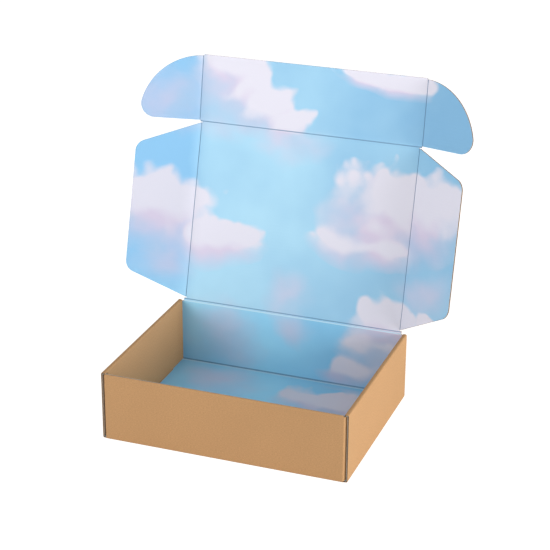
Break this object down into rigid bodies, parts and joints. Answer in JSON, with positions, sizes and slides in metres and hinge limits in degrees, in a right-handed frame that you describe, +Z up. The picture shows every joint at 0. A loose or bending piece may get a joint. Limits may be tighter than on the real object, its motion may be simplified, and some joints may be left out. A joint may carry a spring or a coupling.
{
  "type": "corrugated mailer box",
  "caption": "Roll-end corrugated mailer box with double side walls, an open hinged lid with wings, a tuck flap with ears, kraft outside and sky print inside.",
  "frame": {"origin": "middle of the tray's underside", "axes": "+Z up, the front wall at -Y, the lid's hinge at +Y, +X to the right as seen from the front"},
  "size_m": [0.3397, 0.2446, 0.3072],
  "materials": {
    "kraft_board": "matt",
    "printed_board": "matt"
  },
  "bodies": {
    "tray": {"tray": "kraft_board"},
    "lid_hinge_strip": {"lid_hinge_strip": "printed_board"},
    "lid_panel": {"lid_panel": "printed_board"},
    "tuck_flap": {"tuck_flap": "printed_board"},
    "left_wing": {"left_wing": "printed_board"},
    "right_wing": {"right_wing": "printed_board"},
    "left_ear": {"left_ear": "printed_board"},
    "right_ear": {"right_ear": "printed_board"}
  },
  "joints": [
    {"name": "lid_lower_crease", "type": "hinge", "parent": "tray", "child": "lid_hinge_strip", "pos_m": [0, 0.0913, 0.06672], "axis": [-1, 0, 0], "range_deg": [-52.7, 37.3]},
    {"name": "lid_upper_crease", "type": "hinge", "parent": "lid_hinge_strip", "child": "lid_panel", "pos_m": [0, 0.09214, 0.06831], "axis": [-1, 0, 0], "range_deg": [-52.7, 37.3]},
    {"name": "left_wing_fold", "type": "hinge", "parent": "lid_panel", "child": "left_wing", "pos_m": [-0.11275, 0.09214, 0.06831], "axis": [0, -0.2656, -0.9641], "range_deg": [-65, 45]},
    {"name": "right_wing_fold", "type": "hinge", "parent": "lid_panel", "child": "right_wing", "pos_m": [0.11275, 0.09214, 0.06831], "axis": [0, 0.2656, 0.9641], "range_deg": [-57, 53]},
    {"name": "tuck_fold", "type": "hinge", "parent": "lid_panel", "child": "tuck_flap", "pos_m": [0, 0.13997, 0.24198], "axis": [-1, 0, 0], "range_deg": [-85, 25]},
    {"name": "left_ear_fold", "type": "hinge", "parent": "tuck_flap", "child": "left_ear", "pos_m": [-0.11505, 0.13997, 0.24198], "axis": [0, -0.1805, -0.9836], "range_deg": [-68, 42]},
    {"name": "right_ear_fold", "type": "hinge", "parent": "tuck_flap", "child": "right_ear", "pos_m": [0.11505, 0.13997, 0.24198], "axis": [0, 0.1805, 0.9836], "range_deg": [-65, 45]}
  ]
}
